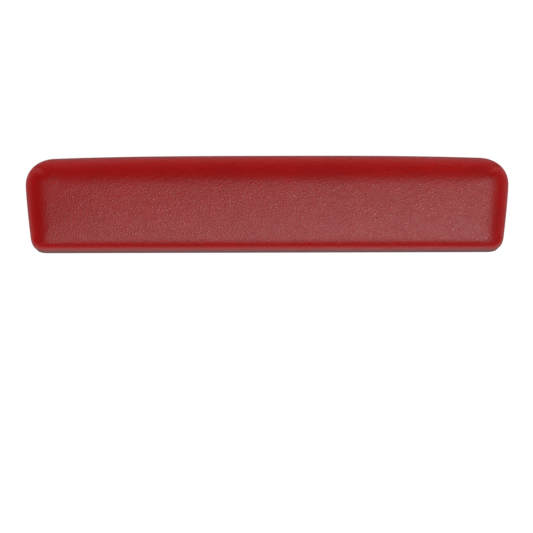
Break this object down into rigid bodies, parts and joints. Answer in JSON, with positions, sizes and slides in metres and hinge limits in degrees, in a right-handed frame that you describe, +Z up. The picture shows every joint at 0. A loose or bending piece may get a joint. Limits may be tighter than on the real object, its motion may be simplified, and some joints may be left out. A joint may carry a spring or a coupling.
{
  "type": "armrest pad",
  "caption": "Long slim padded armrest pad for the elbow, with a stretched vinyl cover over foam on a plywood board and two threaded inserts in line underneath.",
  "frame": {"origin": "centre of the underside: the middle of the bounding box at the bottom cloth's lower face", "axes": "+X along the pad's length, +Y from the straight front edge to the bowed back edge, +Z up to the padded top"},
  "size_m": [0.2798, 0.056, 0.027],
  "materials": {
    "red_vinyl": "satin",
    "polyester_wadding": "matte",
    "foam": "matte",
    "plywood": "matte",
    "zinc_plated_steel": "satin",
    "staple_wire": "satin",
    "black_cloth": "matte"
  },
  "bodies": {
    "root": {"vinyl_cover": "red_vinyl", "wadding": "polyester_wadding", "foam_pad": "foam", "base_board": "plywood", "left_t_nut": "zinc_plated_steel", "right_t_nut": "zinc_plated_steel", "hem_staples": "staple_wire", "bottom_cloth": "black_cloth", "bottom_cloth_staples": "staple_wire"}
  },
  "joints": []
}
